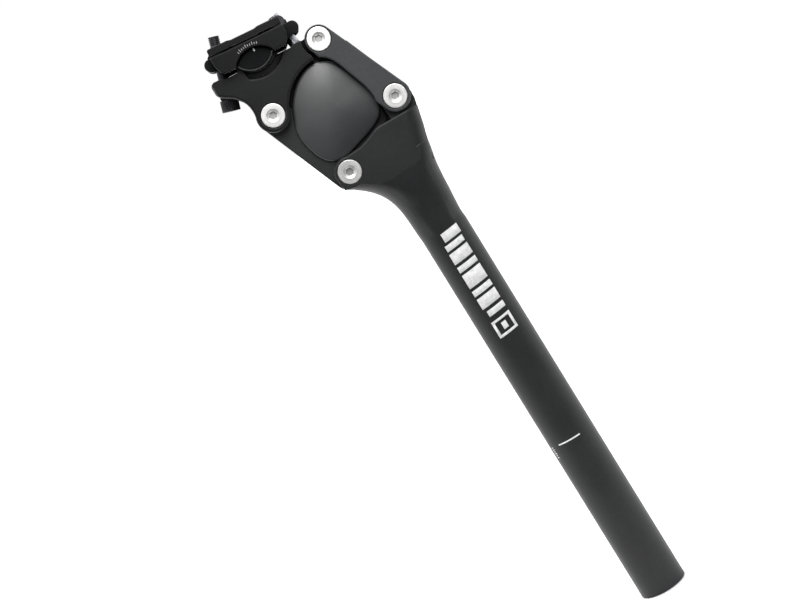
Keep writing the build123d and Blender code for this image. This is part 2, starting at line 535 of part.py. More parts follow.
upc = soften(upc, [e for e in face_edges(upc, -26.3) + face_edges(upc, 26.3) if e.length > 4 and un(0, 19.0)[1] < e.center().Z + math.tan(math.radians(TILT)) * (e.center().X - un(0, 19.0)[0])], [0.8, 0.5, 0.3, 0.2])
save(upc, "upper_rail_clamp")
save(nuts["rear"], "rear_barrel_nut")
save(nuts["front"], "front_barrel_nut")


# ---------------------------------------------------------------- clamp bolts and washers
def clamp_bolt(u0, lean, n_end, head_len, head_r):
    b0 = lean_axis(u0, lean, BEAR_N)
    k = math.cos(math.radians(lean))
    def at(d):
        return lean_axis(u0, lean, BEAR_N + d * k)
    shaft = along(at(-1.6), at((n_end - BEAR_N) / k), BOLT6_R)
    head_ = along(at(-1.6 - head_len), at(-1.6), head_r)
    pl = Plane(origin=(at(-1.6 - head_len)[0], 0, at(-1.6 - head_len)[1]), x_dir=(0, 1, 0),
               z_dir=(at(1)[0] - at(0)[0], 0, at(1)[1] - at(0)[1]))
    # knurled skirt
    teeth = None
    for i in range(24):
        a = math.radians(15 * i)
        g = pl * (Pos((head_r + 0.12) * math.cos(a), (head_r + 0.12) * math.sin(a), 1.0) * Cylinder(0.36, head_len - 2.0, align=(Align.CENTER, Align.CENTER, Align.MIN)))
        teeth = g if teeth is None else teeth + g
    head_ = head_ - teeth
    head_ = head_ - pl * (Pos(0, 0, -0.5) * extrude(RegularPolygon(3.46, 6), amount=4.5))
    bolt = shaft + head_
    # thread grooves on the upper part of the shaft
    tl = (n_end - BEAR_N) / k
    pl2 = Plane(origin=(at(0)[0], 0, at(0)[1]), x_dir=(0, 1, 0), z_dir=pl.z_dir)
    z = tl - 0.9
    while z > tl - 16.0:
        ring = Cylinder(BOLT6_R + 1, 0.45, align=(Align.CENTER, Align.CENTER, Align.MIN)) - Cylinder(BOLT6_R - 0.32, 0.45, align=(Align.CENTER, Align.CENTER, Align.MIN))
        bolt = bolt - pl2 * (Pos(0, 0, z) * ring)
        z -= 1.0
    q = at(-1.55)
    dx, dz = at(1)[0] - at(0)[0], at(1)[1] - at(0)[1]
    half = poly((q[0] - 9 * dz, q[1] + 9 * dx), (q[0] + 9 * dz, q[1] - 9 * dx),
                (q[0] + 9 * dz + 9 * dx, q[1] - 9 * dx + 9 * dz), (q[0] - 9 * dz + 9 * dx, q[1] + 9 * dx + 9 * dz))
    w = slab(disc(b0[0], b0[1], ROCK_R) & half, -ROCK_Y, ROCK_Y) - along(at(-3), at(9), BOLT6_R + 0.1)
    return bolt, w


rear, rw = clamp_bolt(REAR_U, REAR_LEAN, 28.0, 6.3, 5.0)
front, fw = clamp_bolt(FRONT_U, FRONT_LEAN, 24.2, 6.0, 4.9)
save(rear, "rear_clamp_bolt")
save(front, "front_clamp_bolt")
save(rw, "rear_bolt_washer")
save(fw, "front_bolt_washer")
print("roller", RX, RZ, "plunger top", PTOP, "C", CX, CZ, "D", DX, DZ)
for key, u0, lean in (("rear", REAR_U, REAR_LEAN), ("front", FRONT_U, FRONT_LEAN)):
    print(key, "bearing", lean_axis(u0, lean, BEAR_N), "nut", lean_axis(u0, lean, NUT_N))
print("rail", un(-0.35, RAIL_N))
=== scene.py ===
import bpy
import bmesh
import math
from mathutils import Vector, Matrix


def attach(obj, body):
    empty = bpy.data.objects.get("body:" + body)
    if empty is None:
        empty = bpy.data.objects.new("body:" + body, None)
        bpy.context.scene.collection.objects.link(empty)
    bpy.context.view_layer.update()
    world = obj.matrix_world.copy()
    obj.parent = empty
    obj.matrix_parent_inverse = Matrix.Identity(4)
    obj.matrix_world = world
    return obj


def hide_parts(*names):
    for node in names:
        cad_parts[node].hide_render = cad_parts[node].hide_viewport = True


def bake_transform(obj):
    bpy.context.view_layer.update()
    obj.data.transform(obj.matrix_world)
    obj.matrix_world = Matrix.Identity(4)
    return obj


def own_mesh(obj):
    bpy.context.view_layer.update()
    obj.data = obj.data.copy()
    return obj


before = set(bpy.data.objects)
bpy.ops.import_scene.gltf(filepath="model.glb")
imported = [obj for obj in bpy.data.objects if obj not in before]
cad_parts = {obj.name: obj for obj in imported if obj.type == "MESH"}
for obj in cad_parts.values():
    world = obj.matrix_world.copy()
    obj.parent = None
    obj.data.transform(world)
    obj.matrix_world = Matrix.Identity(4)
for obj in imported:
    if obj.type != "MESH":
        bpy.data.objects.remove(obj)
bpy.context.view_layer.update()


MM = 0.001
FRONT_LOW, FRONT_HIGH = 0.10, 0.82
scene = bpy.context.scene
coll = scene.collection

# ------------------------------------------------------------------ geometry of the object, metres
A = (-0.02740, 0.28580)
B = (0.01422, 0.30720)
LV = (-0.01864, 0.04640)
C = (A[0] + LV[0], A[1] + LV[1])
D = (B[0] + LV[0], B[1] + LV[1])
BOSS = (-0.03906, 0.35526)
TILT = math.radians(6.0)
TUBE_R = 0.0136


def un(u, n):
    """Clamp frame in millimetres to (x, z) in metres."""
    c, s = math.cos(TILT), math.sin(TILT)
    return (BOSS[0] + (u * c + n * s) * MM, BOSS[1] + (-u * s + n * c) * MM)


# ------------------------------------------------------------------ material helpers
class Graph:
    def __init__(self, name):
        self.mat = bpy.data.materials.new(name)
        self.mat.use_nodes = True
        self.nt = self.mat.node_tree
        self.nt.nodes.clear()
        self.out = self.n("ShaderNodeOutputMaterial")
        self.bsdf = self.n("ShaderNodeBsdfPrincipled")
        self.nt.links.new(self.bsdf.outputs["BSDF"], self.out.inputs["Surface"])
        self.tc = self.n("ShaderNodeTexCoord")

    def n(self, kind, **props):
        node = self.nt.nodes.new(kind)
        for k, v in props.items():
            setattr(node, k, v)
        return node

    def link(self, a, b):
        self.nt.links.new(a, b)

    def noise(self, scale, detail=2.0, rough=0.5, vector=None, distortion=0.0):
        node = self.n("ShaderNodeTexNoise")
        node.inputs["Scale"].default_value = scale
        node.inputs["Detail"].default_value = detail
        node.inputs["Roughness"].default_value = rough
        node.inputs["Distortion"].default_value = distortion
        self.link(vector or self.tc.outputs["Object"], node.inputs["Vector"])
        return node.outputs["Fac"]

    def ramp(self, fac, lo, hi, a=0.0, b=1.0):
        node = self.n("ShaderNodeMapRange")
        node.inputs["From Min"].default_value = lo
        node.inputs["From Max"].default_value = hi
        node.inputs["To Min"].default_value = a
        node.inputs["To Max"].default_value = b
        self.link(fac, node.inputs["Value"])
        return node.outputs["Result"]

    def math(self, op, a, b=None):
        node = self.n("ShaderNodeMath", operation=op)
        for i, v in enumerate((a, b)):
            if v is None:
                continue
            if isinstance(v, (int, float)):
                node.inputs[i].default_value = v
            else:
                self.link(v, node.inputs[i])
        return node.outputs[0]

    def mix(self, fac, a, b, blend="MIX"):
        node = self.n("ShaderNodeMix", data_type="RGBA", blend_type=blend)
        if isinstance(fac, (int, float)):
            node.inputs[0].default_value = fac
        else:
            self.link(fac, node.inputs[0])
        for i, v in ((6, a), (7, b)):
            if isinstance(v, tuple):
                node.inputs[i].default_value = (*v, 1.0) if len(v) == 3 else v
            else:
                self.link(v, node.inputs[i])
        return node.outputs[2]

    def edge(self, radius, lo=0.90, hi=0.995, samples=4):
        """1 on sharp outside and inside edges, 0 on flat stretches."""
        bev = self.n("ShaderNodeBevel", samples=samples)
        bev.inputs["Radius"].default_value = radius
        geo = self.n("ShaderNodeNewGeometry")
        dot = self.n("ShaderNodeVectorMath", operation="DOT_PRODUCT")
        self.link(bev.outputs["Normal"], dot.inputs[0])
        self.link(geo.outputs["Normal"], dot.inputs[1])
        return self.ramp(dot.outputs["Value"], lo, hi, 1.0, 0.0), bev.outputs["Normal"]

    def bump(self, heights, normal=None):
        """heights: list of (socket, distance in metres, strength)."""
        last = normal
        for h, dist, strength in heights:
            node = self.n("ShaderNodeBump")
            node.inputs["Distance"].default_value = dist
            node.inputs["Strength"].default_value = strength
            self.link(h, node.inputs["Height"])
            if last is not None:
                self.link(last, node.inputs["Normal"])
            last = node.outputs["Normal"]
        self.link(last, self.bsdf.inputs["Normal"])
        return last

    def set(self, **kw):
        for k, v in kw.items():
            self.bsdf.inputs[k.replace("_", " ")].default_value = v


def forged(name, base, light, rough, wear=(0.30, 0.30, 0.31), wear_amt=0.35, grain=1.0, spec=0.5, bevel=0.00045, metal=0.0, gap_shade_distance=None, boss=None):
    """Satin black anodised, shot-blasted alloy: a fine grain, slow clouding, bare metal showing at the edges."""
    g = Graph(name)
    fine = g.noise(7500.0, 3.0, 0.6)
    mid = g.noise(900.0, 4.0, 0.62)
    cloud = g.noise(38.0, 3.0, 0.5)
    edge, soft = g.edge(bevel)
    broken = g.ramp(mid, 0.36, 0.62)
    wear_mask = g.math("MULTIPLY", g.math("MULTIPLY", edge, broken), wear_amt)
    tone = g.math("ADD", g.math("MULTIPLY", fine, 0.30), g.math("ADD", g.math("MULTIPLY", mid, 0.35), g.math("MULTIPLY", cloud, 0.35)))
    col = g.mix(g.ramp(tone, 0.34, 0.66), base, light)
    col = g.mix(wear_mask, col, wear)
    g.link(col, g.bsdf.inputs["Base Color"])
    r = g.math("ADD", g.ramp(tone, 0.3, 0.7, rough - 0.07, rough + 0.07), g.math("MULTIPLY", wear_mask, -0.10))
    polished = None
    if boss:
        # the round boss stands proud of the ears: its rim is rubbed smooth by the clamp, its end face stays dull
        sep = g.n("ShaderNodeSeparateXYZ")
        g.link(g.tc.outputs["Object"], sep.inputs[0])
        side = g.math("ABSOLUTE", sep.outputs["Y"])
        end_face = g.ramp(side, 0.02258, 0.02274)
        polished = g.math("MULTIPLY", g.ramp(side, boss, boss + 0.0003), g.math("SUBTRACT", 1.0, end_face))
        r = g.math("ADD", r, g.math("MULTIPLY", polished, -0.17))
    g.link(r, g.bsdf.inputs["Roughness"])
    g.bump([(mid, 0.00004, 0.5 * grain), (fine, 0.00002, 0.9 * grain)], soft)
    g.set(Specular_IOR_Level=spec, Metallic=metal)
    if gap_shade_distance:
        # painted shade: an ambient occlusion mask takes the sheen off in the narrow gaps, standing in for the shade
        # that falls there
        ao = g.n("ShaderNodeAmbientOcclusion", samples=6)
        ao.inputs["Distance"].default_value = gap_shade_distance
        shine = g.ramp(ao.outputs["AO"], 0.35, 0.80, 0.0, spec)
        if polished is not None:
            shine = g.math("MULTIPLY", shine, g.math("SUBTRACT", 1.0, g.math("MULTIPLY", end_face, 0.85)))
            shine = g.math("ADD", shine, g.math("MULTIPLY", polished, 0.40))
        g.link(shine, g.bsdf.inputs["Specular IOR Level"])
    return g.mat


def rubber(name, base, light, rough, grain=1.0, spec=0.42, cloudy=45.0, skirt=None):
    g = Graph(name)
    fine = g.noise(5200.0, 3.0, 0.6)
    mid = g.noise(620.0, 3.0, 0.6)
    cloud = g.noise(cloudy, 2.0, 0.5)
    edge, soft = g.edge(0.0004)
    tone = g.math("ADD", g.math("MULTIPLY", fine, 0.30), g.math("ADD", g.math("MULTIPLY", mid, 0.20), g.math("MULTIPLY", cloud, 0.50)))
    col = g.mix(g.ramp(tone, 0.34, 0.66), base, light)
    col = g.mix(g.math("MULTIPLY", edge, 0.25), col, tuple(min(1, c * 1.9) for c in light))
    g.set(Specular_IOR_Level=spec)
    if skirt:
        # painted shade: the recessed skirt is coloured near black and dull, standing in for the shade in the gaps
        # round the cover; the dome in front of it is polished by wear
        sep = g.n("ShaderNodeSeparateXYZ")
        g.link(g.tc.outputs["Object"], sep.inputs[0])
        face = g.ramp(g.math("ABSOLUTE", sep.outputs["Y"]), skirt[0], skirt[1])
        col = g.mix(face, (0.005, 0.005, 0.0055), col)
        g.link(g.ramp(face, 0.0, 1.0, 0.10, spec), g.bsdf.inputs["Specular IOR Level"])
    g.link(col, g.bsdf.inputs["Base Color"])
    g.link(g.ramp(tone, 0.3, 0.7, rough - 0.06, rough + 0.08), g.bsdf.inputs["Roughness"])
    g.bump([(mid, 0.00005, 0.35 * grain), (fine, 0.000025, 0.9 * grain)], soft)
    return g.mat


def turned_metal(name, centres, base, dark, rough, rings=9000.0, amount=1.0, metal=1.0, spec=0.5, socket=False):
    """Machined face with fine lathe rings round one or two axes that run across (Y)."""
    g = Graph(name)
    sep = g.n("ShaderNodeSeparateXYZ")
    g.link(g.tc.outputs["Object"], sep.inputs[0])
    radius = None
    for cx, cz in centres:
        dx = g.math("SUBTRACT", sep.outputs["X"], cx)
        dz = g.math("SUBTRACT", sep.outputs["Z"], cz)
        r = g.math("SQRT", g.math("ADD", g.math("MULTIPLY", dx, dx), g.math("MULTIPLY", dz, dz)))
        radius = r if radius is None else g.math("MINIMUM", radius, r)
    comb = g.n("ShaderNodeCombineXYZ")
    g.link(radius, comb.inputs[0])
    g.link(g.math("MULTIPLY", sep.outputs["Y"], 0.3), comb.inputs[1])
    ring = g.noise(rings, 2.0, 0.7, comb.outputs[0])
    ring2 = g.noise(rings * 0.28, 2.0, 0.6, comb.outputs[0])
    spots = g.noise(1500.0, 4.0, 0.65)
    cloud = g.noise(160.0, 3.0, 0.5)
    edge, soft = g.edge(0.00025)
    tone = g.math("ADD", g.math("MULTIPLY", ring, 0.4), g.math("ADD", g.math("MULTIPLY", ring2, 0.25), g.math("MULTIPLY", cloud, 0.35)))
    col = g.mix(g.ramp(tone, 0.36, 0.64), dark, base)
    col = g.mix(g.math("MULTIPLY", g.ramp(spots, 0.60, 0.72), 0.25), col, tuple(c * 0.6 for c in dark))
    col = g.mix(g.math("MULTIPLY", edge, 0.4), col, tuple(min(1.0, c * 1.15) for c in base))
    if socket:
        # painted shade: the hexagon socket is darkened with depth, standing in for the shade in the recess; and a dull
        # ring where the face is not machined
        depth = g.math("ABSOLUTE", sep.outputs["Y"])
        col = g.mix(g.ramp(depth, 0.0183, 0.0168, 0.0, 0.62), col, tuple(c * 0.30 for c in dark))
        lathe = g.math("ABSOLUTE", g.math("SUBTRACT", radius, 0.00415))
        col = g.mix(g.ramp(lathe, 0.00022, 0.0, 0.0, 0.45), col, tuple(c * 0.55 for c in dark))
    g.link(col, g.bsdf.inputs["Base Color"])
    g.link(g.ramp(tone, 0.3, 0.7, rough - 0.06, rough + 0.08), g.bsdf.inputs["Roughness"])
    g.bump([(ring, 0.000012, 0.8 * amount), (spots, 0.00001, 0.4)], soft)
    g.set(Metallic=metal, Specular_IOR_Level=spec)
    return g.mat


def plain_metal(name, base, dark, rough, metal=1.0, stretch=(1.0, 1.0, 1.0), scale=2400.0):
    g = Graph(name)
    mp = g.n("ShaderNodeMapping")
    mp.inputs["Scale"].default_value = stretch
    g.link(g.tc.outputs["Object"], mp.inputs["Vector"])
    brush = g.noise(scale, 3.0, 0.65, mp.outputs[0])
    cloud = g.noise(220.0, 3.0, 0.5)
    edge, soft = g.edge(0.0003)
    tone = g.math("ADD", g.math("MULTIPLY", brush, 0.6), g.math("MULTIPLY", cloud, 0.4))
    col = g.mix(g.ramp(tone, 0.35, 0.65), dark, base)
    col = g.mix(g.math("MULTIPLY", edge, 0.35), col, tuple(min(1.0, c * 1.4 + 0.05) for c in base))
    g.link(col, g.bsdf.inputs["Base Color"])
    g.link(g.ramp(tone, 0.3, 0.7, rough - 0.07, rough + 0.09), g.bsdf.inputs["Roughness"])
    g.bump([(brush, 0.000015, 0.7)], soft)
    g.set(Metallic=metal)
    return g.mat


def plastic(name, base, light, rough, scale=3000.0, bump=0.5):
    g = Graph(name)
    fine = g.noise(scale, 3.0, 0.6)
    cloud = g.noise(120.0, 2.0, 0.5)
    edge, soft = g.edge(0.0003)
    tone = g.math("ADD", g.math("MULTIPLY", fine, 0.5), g.math("MULTIPLY", cloud, 0.5))
    col = g.mix(g.ramp(tone, 0.35, 0.65), base, light)
    col = g.mix(g.math("MULTIPLY", edge, 0.2), col, tuple(min(1.0, c * 1.5 + 0.02) for c in light))
    g.link(col, g.bsdf.inputs["Base Color"])
    g.link(g.ramp(tone, 0.3, 0.7, rough - 0.05, rough + 0.06), g.bsdf.inputs["Roughness"])
    g.bump([(fine, 0.00002, bump)], soft)
    return g.mat


def paint_print(name, base, dark):
    """White pad print with a little wear, so that the black shows through in specks."""
    g = Graph(name)
    fine = g.noise(4200.0, 4.0, 0.7)
    mid = g.noise(420.0, 3.0, 0.6)
    tone = g.math("ADD", g.math("MULTIPLY", fine, 0.5), g.math("MULTIPLY", mid, 0.5))
    col = g.mix(g.ramp(tone, 0.40, 0.62), dark, base)
    g.link(col, g.bsdf.inputs["Base Color"])
    g.link(g.ramp(tone, 0.3, 0.7, 0.38, 0.55), g.bsdf.inputs["Roughness"])
    g.bump([(fine, 0.00001, 0.4)])
    return g.mat


BLACK = forged("alloy_black", (0.010, 0.0105, 0.011), (0.021, 0.0215, 0.0225), 0.43, spec=0.30)
LINK = forged("alloy_black_links", (0.026, 0.027, 0.029), (0.048, 0.050, 0.053), 0.46, spec=0.42)
LOWLINK = forged("alloy_black_lower_link", (0.012, 0.0125, 0.013), (0.025, 0.026, 0.027), 0.45, spec=0.32)
# the head and the clamp get painted shade in their narrow gaps, from an ambient occlusion mask
HEADM = forged("alloy_black_head", (0.004, 0.0043, 0.0046), (0.012, 0.0125, 0.013), 0.40, spec=0.22, gap_shade_distance=0.012, boss=0.0187)
CLAMP = forged("alloy_black_clamp", (0.002, 0.0022, 0.0024), (0.007, 0.0073, 0.0077), 0.36, wear_amt=0.5, spec=0.16, gap_shade_distance=0.012)
# the cover's skirt is coloured near black as painted shade in the gaps round it
COVER = rubber("cover_rubber_grey", (0.015, 0.016, 0.0172), (0.034, 0.0355, 0.0375), 0.38, spec=1.0, cloudy=30.0, skirt=(0.01145, 0.0120))
RUBBER = rubber("black_rubber", (0.012, 0.012, 0.012), (0.025, 0.025, 0.025), 0.6)
ELAST = rubber("elastomer_amber", (0.22, 0.17, 0.06), (0.32, 0.25, 0.10), 0.45)
BOLT_A = turned_metal("bolt_silver_fork", [A], (0.90, 0.90, 0.88), (0.66, 0.66, 0.64), 0.40, socket=True)
BOLT_C = turned_metal("bolt_silver_head", [C], (0.97, 0.97, 0.95), (0.78, 0.78, 0.76), 0.42, socket=True)
BOLT_BD = turned_metal("bolt_silver_link", [B, D], (0.96, 0.96, 0.94), (0.78, 0.78, 0.76), 0.42, socket=True)
STEEL = plain_metal("ground_steel", (0.52, 0.52, 0.53), (0.36, 0.36, 0.37), 0.30)
BLACK_STEEL = plain_metal("black_oxide_steel", (0.055, 0.055, 0.06), (0.025, 0.025, 0.028), 0.36, metal=0.85)
ZINC = plain_metal("bright_zinc", (0.72, 0.73, 0.78), (0.45, 0.46, 0.50), 0.22)
SPRING = plain_metal("spring_steel", (0.22, 0.22, 0.24), (0.10, 0.10, 0.11), 0.28)
PLUNGER = plain_metal("plunger_alloy", (0.66, 0.66, 0.67), (0.48, 0.48, 0.49), 0.26)
ADJ = forged("adjuster_black", (0.020, 0.021, 0.022), (0.040, 0.041, 0.042), 0.35)
BUSH = plastic("bushing_black", (0.022, 0.022, 0.022), (0.045, 0.045, 0.045), 0.42)
PRINT = paint_print("white_print", (0.88, 0.88, 0.88), (0.62, 0.62, 0.62))
SCALE_PRINT = paint_print("grey_print", (0.46, 0.46, 0.46), (0.24, 0.24, 0.24))

MATS = {
    "post_body": BLACK, "lower_link": LOWLINK, "upper_link": LINK, "head_casting": HEADM, "cam_lever": LINK,
    "lower_rail_clamp": CLAMP, "upper_rail_clamp": CLAMP,
    "pivot_bolts_fork": BOLT_A, "pivot_bolts_head": BOLT_C, "pivot_bolts_upper_link": BOLT_BD,
    "axle_lower_fork": STEEL, "axle_lower_head": STEEL, "axle_upper_fork": STEEL, "axle_upper_head": STEEL,
    "roller_pin": STEEL, "cam_roller": STEEL,
    "rear_clamp_bolt": BLACK_STEEL, "rear_bolt_washer": BLACK_STEEL, "front_clamp_bolt": ZINC, "front_bolt_washer": ZINC,
    "rear_barrel_nut": BLACK_STEEL, "front_barrel_nut": BLACK_STEEL,
    "main_spring": SPRING, "plunger": PLUNGER, "plunger_guide": BUSH, "plunger_wiper": RUBBER, "top_out_bumper": ELAST,
    "elastomer_core": ELAST, "spring_seat": BUSH, "preload_adjuster": ADJ,
    "upper_link_fork_bushings": BUSH, "upper_link_head_bushings": BUSH, "lower_link_fork_bushings": BUSH, "lower_link_head_bushings": BUSH,
    "side_cover_left": COVER, "side_cover_right": COVER,
}
for name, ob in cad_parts.items():
    ob.data.materials.clear()
    ob.data.materials.append(MATS.get(name, BLACK))


# ------------------------------------------------------------------ mesh helpers
def new_object(name, bm, mat, body, smooth=True):
    me = bpy.data.meshes.new(name)
    bm.normal_update()
    bm.to_mesh(me)
    bm.free()
    me.materials.append(mat)
    ob = bpy.data.objects.new(name, me)
    coll.objects.link(ob)
    if smooth:
        for p in me.polygons:
            p.use_smooth = True
    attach(ob, body)
    return ob


def tube_patch(bm, outline, r0, r1, steps=None):
    """Closed thin shell that wraps the tube: outline is a convex polygon in (arc mm, z mm), arc 0 at -Y and growing towards +X."""
    n = len(outline)
    inner, outer = [], []
    for a, z in outline:
        t = a * MM / TUBE_R
        for ring, r in ((inner, r0), (outer, r1)):
            ring.append(bm.verts.new((r * math.sin(t), -r * math.cos(t), z * MM)))
    bm.faces.new(outer)
    bm.faces.new(list(reversed(inner)))
    for i in range(n):
        j = (i + 1) % n
        bm.faces.new((inner[i], inner[j], outer[j], outer[i]))


def band(bm, a0, a1, z0, z1, slant=0.0, taper=0.0, seg=0.8):
    """A printed bar on the tube from arc a0 to a1 (mm), z0 to z1, split so that it follows the round."""
    k = max(1, int(math.ceil(abs(a1 - a0) / seg)))
    r0, r1 = TUBE_R - 0.00002, TUBE_R + 0.00006
    rows = []
    for i in range(k + 1):
        f = i / k
        a = a0 + (a1 - a0) * f
        dz = slant * (a - a0)
        lo, hi = z0 + dz + taper * f, z1 + dz - taper * f
        t = a * MM / TUBE_R
        s, c = math.sin(t), math.cos(t)
        rows.append([bm.verts.new((r * s, -r * c, z * MM)) for r, z in ((r0, lo), (r1, lo), (r1, hi), (r0, hi))])
    for p, q in zip(rows, rows[1:]):
        for i in range(4):
            j = (i + 1) % 4
            bm.faces.new((p[i], q[i], q[j], p[j]))
    bm.faces.new(list(reversed(rows[0])))
    bm.faces.new(rows[-1])


# printed marks on the tube: a generic run of slanted bars, the insertion line and its small ticks
bm = bmesh.new()
z = 231.5
for h, gap, a0, a1 in ((5.2, 1.7, -4.0, 7.0), (3.4, 1.6, -5.6, 6.2), (6.4, 1.8, -5.9, 6.4), (3.4, 1.6, -5.9, 6.4),
                       (8.4, 1.8, -5.9, 6.4), (3.4, 1.6, -5.9, 6.4), (6.4, 1.8, -5.9, 6.4), (3.4, 3.2, -4.6, 6.4)):
    band(bm, a0, a1, z - h, z, slant=0.10)
    z -= h + gap
# a hollow block ends the run
band(bm, -5.9, 6.4, z - 10.0, z - 8.6, slant=0.10)
band(bm, -5.9, 6.4, z - 1.4, z, slant=0.10)
band(bm, -5.9, -4.3, z - 8.6, z - 1.4, slant=0.10)
band(bm, 4.8, 6.4, z - 8.6 + 1.07, z - 1.4 + 1.07, slant=0.10)
band(bm, -1.2, 1.8, z - 7.0 + 0.47, z - 3.0 + 0.47, slant=0.10)
bmesh.ops.recalc_face_normals(bm, faces=bm.faces)
new_object("tube_stripe_print", bm, PRINT, "post")

bm = bmesh.new()
band(bm, -10.0, 3.8, 99.1, 99.9)
for i in range(6):
    band(bm, -17.4 + 0.15 * i, -15.6 + (0.5 if i % 2 else 0.0), 98.6 - 1.25 * i, 99.1 - 1.25 * i)
bmesh.ops.recalc_face_normals(bm, faces=bm.faces)
new_object("insertion_line_print", bm, PRINT, "post")


# ------------------------------------------------------------------ tilt scale on the saddle clamp and its index mark
def bar(bm, p, q, width, y0, y1):
    """Flat bar from p to q (x, z in metres), between two y planes."""
    d = Vector((q[0] - p[0], q[1] - p[1])).normalized()
    n = Vector((-d.y, d.x)) * width / 2
    pts = [(p[0] + n.x, p[1] + n.y), (q[0] + n.x, q[1] + n.y), (q[0] - n.x, q[1] - n.y), (p[0] - n.x, p[1] - n.y)]
    lo = [bm.verts.new((x, y0, z)) for x, z in pts]
    hi = [bm.verts.new((x, y1, z)) for x, z in pts]
    bm.faces.new(lo)
    bm.faces.new(list(reversed(hi)))
    for i in range(4):
        j = (i + 1) % 4
        bm.faces.new((lo[i], hi[i], hi[j], lo[j]))


bm = bmesh.new()
for sgn in (-1, 1):
    for i in range(10):
        t = math.radians(-26.5 + 4.9 * i)
        r0, r1 = 13.9, (15.5 if i % 3 == 1 else 15.0)
        p, q = un(r0 * math.sin(t), r0 * math.cos(t)), un(r1 * math.sin(t), r1 * math.cos(t))
        ys = sorted((sgn * 0.02645, sgn * 0.02656))
        bar(bm, p, q, 0.00036, ys[0], ys[1])
bmesh.ops.recalc_face_normals(bm, faces=bm.faces)
new_object("tilt_scale_print", bm, SCALE_PRINT, "saddle_clamp", smooth=False)

bm = bmesh.new()
for sgn in (-1, 1):
    prev = None
    for i in range(9):
        n = 10.5 + 0.22 * i
        over = max(0.0, n - 11.0)
        y = 22.8 - 1.6 + math.sqrt(max(0.0, 1.6 ** 2 - over ** 2))
        cur = (un(1.15, n), un(1.9, n), sgn * (y + 0.05) * MM, sgn * (y - 0.15) * MM)
        ring = [bm.verts.new((cur[0][0], cur[2], cur[0][1])), bm.verts.new((cur[1][0], cur[2], cur[1][1])),
                bm.verts.new((cur[1][0], cur[3], cur[1][1])), bm.verts.new((cur[0][0], cur[3], cur[0][1]))]
        if prev:
            for k in range(4):
                m = (k + 1) % 4
                bm.faces.new((prev[k], prev[m], ring[m], ring[k]))
        else:
            bm.faces.new(ring)
        prev = ring
    bm.faces.new(list(reversed(prev)))
bmesh.ops.recalc_face_normals(bm, faces=bm.faces)
new_object("index_mark_print", bm, PRINT, "head", smooth=False)

# ------------------------------------------------------------------ domed rubber covers with their skirts, dark flanges that fill the gaps round them as painted shade
COVER_PTS = [(-14.3, 344.4), (-6.8, 342.0), (-1.9, 335.6), (1.9, 326.2), (5.0, 317.0), (5.3, 309.4),
             (1.8, 302.9), (-5.5, 298.8), (-15.8, 295.7), (-24.5, 293.6), (-31.5, 294.8),
             (-36.4, 299.7), (-39.2, 307.0), (-40.3, 314.5), (-38.8, 322.3), (-34.7, 331.3),
             (-28.0, 338.8), (-21.2, 343.0)]


def closed_curve(pts, per):
    """Dense closed curve through the points (centripetal-like cubic)."""
    out = []
    n = len(pts)
    for i in range(n):
        p0, p1, p2, p3 = (Vector(pts[(i + k - 1) % n]) for k in range(4))
        for j in range(per):
            t = j / per
            out.append(0.5 * ((2 * p1) + (p2 - p0) * t + (2 * p0 - 5 * p1 + 4 * p2 - p3) * t ** 2 + (3 * p1 - p0 - 3 * p2 + p3) * t ** 3))
    return out


outline = closed_curve(COVER_PTS, 9)
N = len(outline)
normals = []
for i in range(N):
    d = (outline[(i + 1) % N] - outline[i - 1]).normalized()
    normals.append(Vector((-d.y, d.x)))
centre = Vector((-17.5, 319.0))
KEEP = [((A[0] / MM, A[1] / MM), 8.0), ((C[0] / MM, C[1] / MM), 8.5), ((D[0] / MM, D[1] / MM), 7.8)]


def on_link(p):
    """Inside the outline of the lower link, whose flat face carries the cover."""
    a, c = Vector(A) / MM, Vector(C) / MM
    t = max(0.0, min(1.0, (p - a).dot(c - a) / (c - a).length_squared))
    return (p - (a + (c - a) * t)).length < 9.9 - 0.8 * t


def clear(p):
    return (p.x < 5.72 and not on_link(p)
            and all((p - Vector(c)).length > r for c, r in KEEP))


skirt_w = []
for p, n in zip(outline, normals):
    w = 6.4 if p.x > -2.0 and p.y < 305.0 else 4.1
    while w > 0.25 and not clear(p + n * w):
        w -= 0.1
    skirt_w.append(w)
for _ in range(2):
    skirt_w = [min(skirt_w[i], (skirt_w[i - 1] + skirt_w[i] * 4 + skirt_w[(i + 1) % N]) / 6) for i in range(N)]


